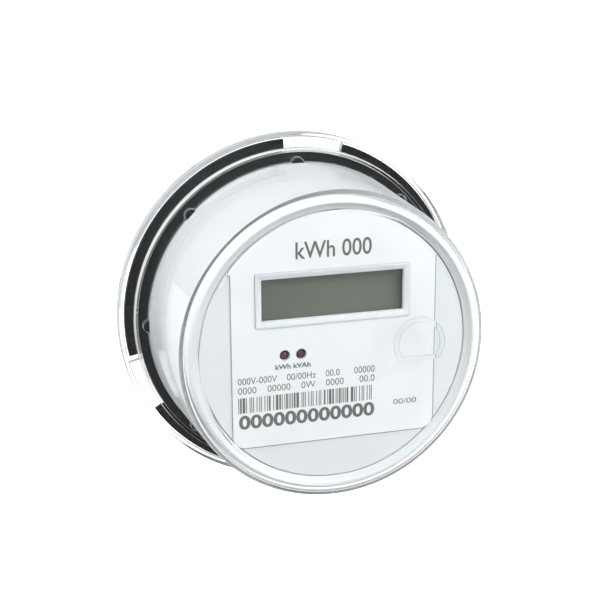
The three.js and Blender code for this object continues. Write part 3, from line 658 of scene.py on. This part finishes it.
def make_label():
    label = prism("label_sheet", label_outline(), LABEL_BACK, LABEL_FRONT, 0.06)
    hole = rectangle(WINDOW_X, WINDOW_Z, FRAME_W + 2 * LABEL_GAP, FRAME_H + 2 * LABEL_GAP, FRAME_CORNER + 0.2)
    outlines = [hole] + [circle(x, z, LAMP_HOLE_R, 32) for x, z in LAMPS]
    cuts = [prism("hole", outline, LABEL_BACK - PAST, LABEL_FRONT + PAST) for outline in outlines]
    combine(label, cuts, "DIFFERENCE")
    return place(shade(label), label_print, METER, ["nameplate"])


make_label()


def flat_mesh(name, quads, depth, thickness=PRINT_THICKNESS):
    """Thin printed marks from (x, z) outlines."""
    bm = bmesh.new()
    for quad in quads:
        low = [bm.verts.new((x * MM, -depth * MM, z * MM)) for x, z in quad]
        high = [bm.verts.new((x * MM, -(depth + thickness) * MM, z * MM)) for x, z in quad]
        bm.faces.new(low)
        bm.faces.new(high[::-1])
        for k in range(len(quad)):
            n = (k + 1) % len(quad)
            bm.faces.new((low[k], low[n], high[n], high[k]))
    return mesh_object(name, bm)


def printed(name, words, left, right, bottom, top, weight=0.0):
    """Words set in the built-in font, stretched to a box on the label."""
    curve = bpy.data.curves.new(name, "FONT")
    curve.body = words
    curve.size = 1
    curve.extrude = 0.001
    curve.resolution_u = 4
    curve.offset = weight
    setter = bpy.data.objects.new(name, curve)
    bpy.context.scene.collection.objects.link(setter)
    mesh = evaluated_mesh(setter)
    bpy.data.objects.remove(setter, do_unlink=True)
    xs = [v.co.x for v in mesh.vertices]
    ys = [v.co.y for v in mesh.vertices]
    across = (right - left) / (max(xs) - min(xs))
    up = (top - bottom) / (max(ys) - min(ys))
    for vertex in mesh.vertices:
        x = left + (vertex.co.x - min(xs)) * across
        z = bottom + (vertex.co.y - min(ys)) * up
        lift = PRINT_THICKNESS if vertex.co.z > 0 else 0
        vertex.co = (x * MM, -(PRINT_DEPTH + lift) * MM, z * MM)
    made = bpy.data.objects.new(name, mesh)
    bpy.context.scene.collection.objects.link(made)
    return place(made, ink, METER)


BLOCK_LEFT, BLOCK_RIGHT = -46.0, 19.4  # the rows and the bars share these margins
BARS_BOTTOM, BARS_TOP, BARS_END = -27.8, -20.5, 19.0
BAR_UNIT, SPACE_UNIT = 0.4, 0.42
RULE_OUTER, RULE_INNER = 0.05, 0.4  # the fine rule round the label, measured in from its edge


def make_print():
    """Generic marks only: units, zeros and bars that encode nothing."""
    printed("print_unit", "kWh 000", -18.5, 17.5, 42.2, 50.2, 0.01)
    upper_row = "000V-000V    00/00Hz    00.0      00000"
    lower_row = "0000    00000    0W    0000      00.0"
    printed("print_rating", upper_row, BLOCK_LEFT, BLOCK_RIGHT, -14.2, -11.0)
    printed("print_class", lower_row, BLOCK_LEFT, BLOCK_RIGHT, -18.7, -15.5)
    printed("print_digits", "000000000000", BLOCK_LEFT + 0.2, BLOCK_RIGHT, -35.7, -28.9, 0.03)
    printed("print_date", "00/00", 28.8, 40.3, -31.5, -28.9)
    printed("print_lamp_caption", "kWh kVAh", -28.4, -11.6, -8.6, -6.2, 0.03)
    bars, x, k = [], BLOCK_LEFT, 0
    while x < BARS_END:
        wide = BAR_UNIT * (1, 2, 1, 1, 3, 1, 2)[(k * k + k // 3) % 7]
        space = SPACE_UNIT * (1, 1, 2, 1, 3)[(k * 3 + k // 4) % 5]
        end = min(x + wide, BLOCK_RIGHT)
        bars.append([(x, BARS_BOTTOM), (end, BARS_BOTTOM), (end, BARS_TOP), (x, BARS_TOP)])
        x += wide + space
        k += 1
    place(flat_mesh("print_bars", bars, PRINT_DEPTH), ink, METER)
    outer, inner = label_outline(RULE_OUTER), label_outline(RULE_INNER)
    lower = list(range(ARC_STEPS, len(outer))) + [0]
    edges = [[outer[a], outer[b], inner[b], inner[a]] for a, b in zip(lower, lower[1:])]
    place(flat_mesh("print_outline", edges, PRINT_DEPTH, 0.02), rule_ink, METER)


make_print()


def make_display():
    width, height = WINDOW_W + PANE_MARGIN, WINDOW_H + PANE_MARGIN
    outline = rectangle(WINDOW_X, WINDOW_Z, width, height, 1)
    pane = prism("window_pane", outline, PANE_BACK, PANE_FRONT, 0.1)
    place(shade(pane), window_clear, METER, ["display_window"])
    outline = rectangle(WINDOW_X, WINDOW_Z, width, height, 0.3)
    panel = prism("display_panel", outline, PANEL_BACK, PANEL_FRONT, 0.15)
    place(shade(panel), lcd_glass, METER, ["display_glass"])


make_display()


def make_lamp(name, x, z, node):
    outline = rounded([
        (0, LAMP_BACK, 0),
        (LAMP_COLLAR_R, LAMP_BACK, 0.2),
        (LAMP_COLLAR_R, LAMP_COLLAR_FRONT, 0.2),
        (LAMP_R, LAMP_COLLAR_FRONT, 0),
        (LAMP_R, FACE_FRONT, LAMP_R - 0.05),
        (0, FACE_FRONT, 0),
    ])
    lamp = lathe(name, outline, 40)
    for vertex in lamp.data.vertices:
        vertex.co += Vector((x * MM, 0, z * MM))
    place(shade(lamp), lamp_epoxy, METER, [node])


make_lamp("lamp_left", *LAMPS[0], "left_lamp")
make_lamp("lamp_right", *LAMPS[1], "right_lamp")

# ---- CAD nodes that stay -----------------------------------------------------------------------------

# The material of each node that is shown as it is, by the longest of these words in its name
KEPT = {
    "blade": tin, "blade_pin": steel, "strap": copper, "current_transformer": blue_case, "drum_screw": steel,
    "power_board": board, "display_board": board, "standoff": brass, "board_screw": steel,
    "supply_transformer": yellow_case, "film_capacitor": yellow_case, "varistor": blue_case,
    "storage_capacitor": chip, "board_link": chip, "chip": chip, "battery_holder": chip, "crystal": steel,
    "battery": steel, "display_holder": white_plastic, "port_": dark_epoxy, "lead": wire_red,
}


KEPT_EDGE = 0.15


def keep_nodes():
    """Gives the CAD pieces that stay their materials and slightly rounded edges."""
    for name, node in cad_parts.items():
        if node.hide_render:
            continue
        found = [key for key in KEPT if key in name]
        material = KEPT[max(found, key=len)]
        node.data.materials.clear()
        node.data.materials.append(material)
        soften = node.modifiers.new("soften", "BEVEL")
        soften.width = KEPT_EDGE * MM
        soften.segments = 2
        soften.limit_method = "ANGLE"
        soften.angle_limit = math.radians(35)


keep_nodes()

# ---- Floor, light and camera ---------------------------------------------------------------------------

FLOOR_DEPTH = 0.32  # metres below the meter's axis
GLOW_START, GLOW_END, GLOW = 0.08, 0.3, 1.2  # the floor glows behind the meter, so that it stands on white
WORLD_LIGHT = 0.72


def make_stage():
    bm = bmesh.new()
    bmesh.ops.create_grid(bm, x_segments=2, y_segments=2, size=30)
    floor = mesh_object("floor", bm)
    floor.location.z = -FLOOR_DEPTH
    material, nodes, links, shader = new_material("pale_floor")
    shader.inputs["Base Color"].default_value = (0.55, 0.55, 0.55, 1)
    shader.inputs["Roughness"].default_value = 0.9
    shader.inputs["Specular IOR Level"].default_value = 0
    shader.inputs["Emission Color"].default_value = (1, 1, 1, 1)
    place_in = nodes.new("ShaderNodeTexCoord")
    split = nodes.new("ShaderNodeSeparateXYZ")
    links.new(place_in.outputs["Object"], split.inputs["Vector"])
    glow = nodes.new("ShaderNodeMapRange")
    glow.interpolation_type = "SMOOTHSTEP"
    glow.inputs["From Min"].default_value = GLOW_START
    glow.inputs["From Max"].default_value = GLOW_END
    glow.inputs["To Max"].default_value = GLOW
    links.new(split.outputs["Y"], glow.inputs["Value"])
    links.new(glow.outputs["Result"], shader.inputs["Emission Strength"])
    floor.data.materials.append(material)
    world = bpy.data.worlds.new("studio")
    bpy.context.scene.world = world
    world.use_nodes = True
    background = world.node_tree.nodes["Background"]
    background.inputs["Color"].default_value = (1, 1, 1, 1)
    background.inputs["Strength"].default_value = WORLD_LIGHT


def add_light(name, direction, distance, size, power):
    """A round lamp that points at the origin; metres and watts."""
    data = bpy.data.lights.new(name, "AREA")
    data.shape = "DISK"
    data.size = size
    data.energy = power
    lamp = bpy.data.objects.new(name, data)
    bpy.context.scene.collection.objects.link(lamp)
    way = Vector(direction).normalized()
    lamp.location = way * distance
    lamp.rotation_mode = "QUATERNION"
    lamp.rotation_quaternion = way.to_track_quat("Z", "Y")


VIEW = (-16.41, 16.05, -0.46)  # azimuth, elevation and roll, in degrees
VIEW_DISTANCE = 0.7  # metres
LENS, SHIFT = 83.2, (0.0167, 0.0079)


def make_camera():
    """The photo's view, found from the rims of the flange, the cup, the drum and the label."""
    azimuth, elevation, roll = (math.radians(v) for v in VIEW)
    back = Vector((
        math.sin(azimuth) * math.cos(elevation),
        -math.cos(azimuth) * math.cos(elevation),
        math.sin(elevation),
    ))
    data = bpy.data.cameras.new("camera")
    data.lens = LENS
    data.sensor_width = 36
    data.shift_x, data.shift_y = SHIFT
    camera = bpy.data.objects.new("camera", data)
    bpy.context.scene.collection.objects.link(camera)
    camera.location = Vector((0, -FLANGE_BACK * MM, 0)) + back * VIEW_DISTANCE
    camera.rotation_mode = "QUATERNION"
    camera.rotation_quaternion = (-back).to_track_quat("-Z", "Y") @ Quaternion((0, 0, 1), roll)
    bpy.context.scene.camera = camera


make_stage()
add_light("key", (-1.0, -0.55, 1.0), 1.5, 1.0, 9.8)
add_light("fill", (1.0, -0.8, 0.7), 1.8, 1.0, 17.5)
make_camera()
bpy.context.scene.view_settings.view_transform = "Standard"
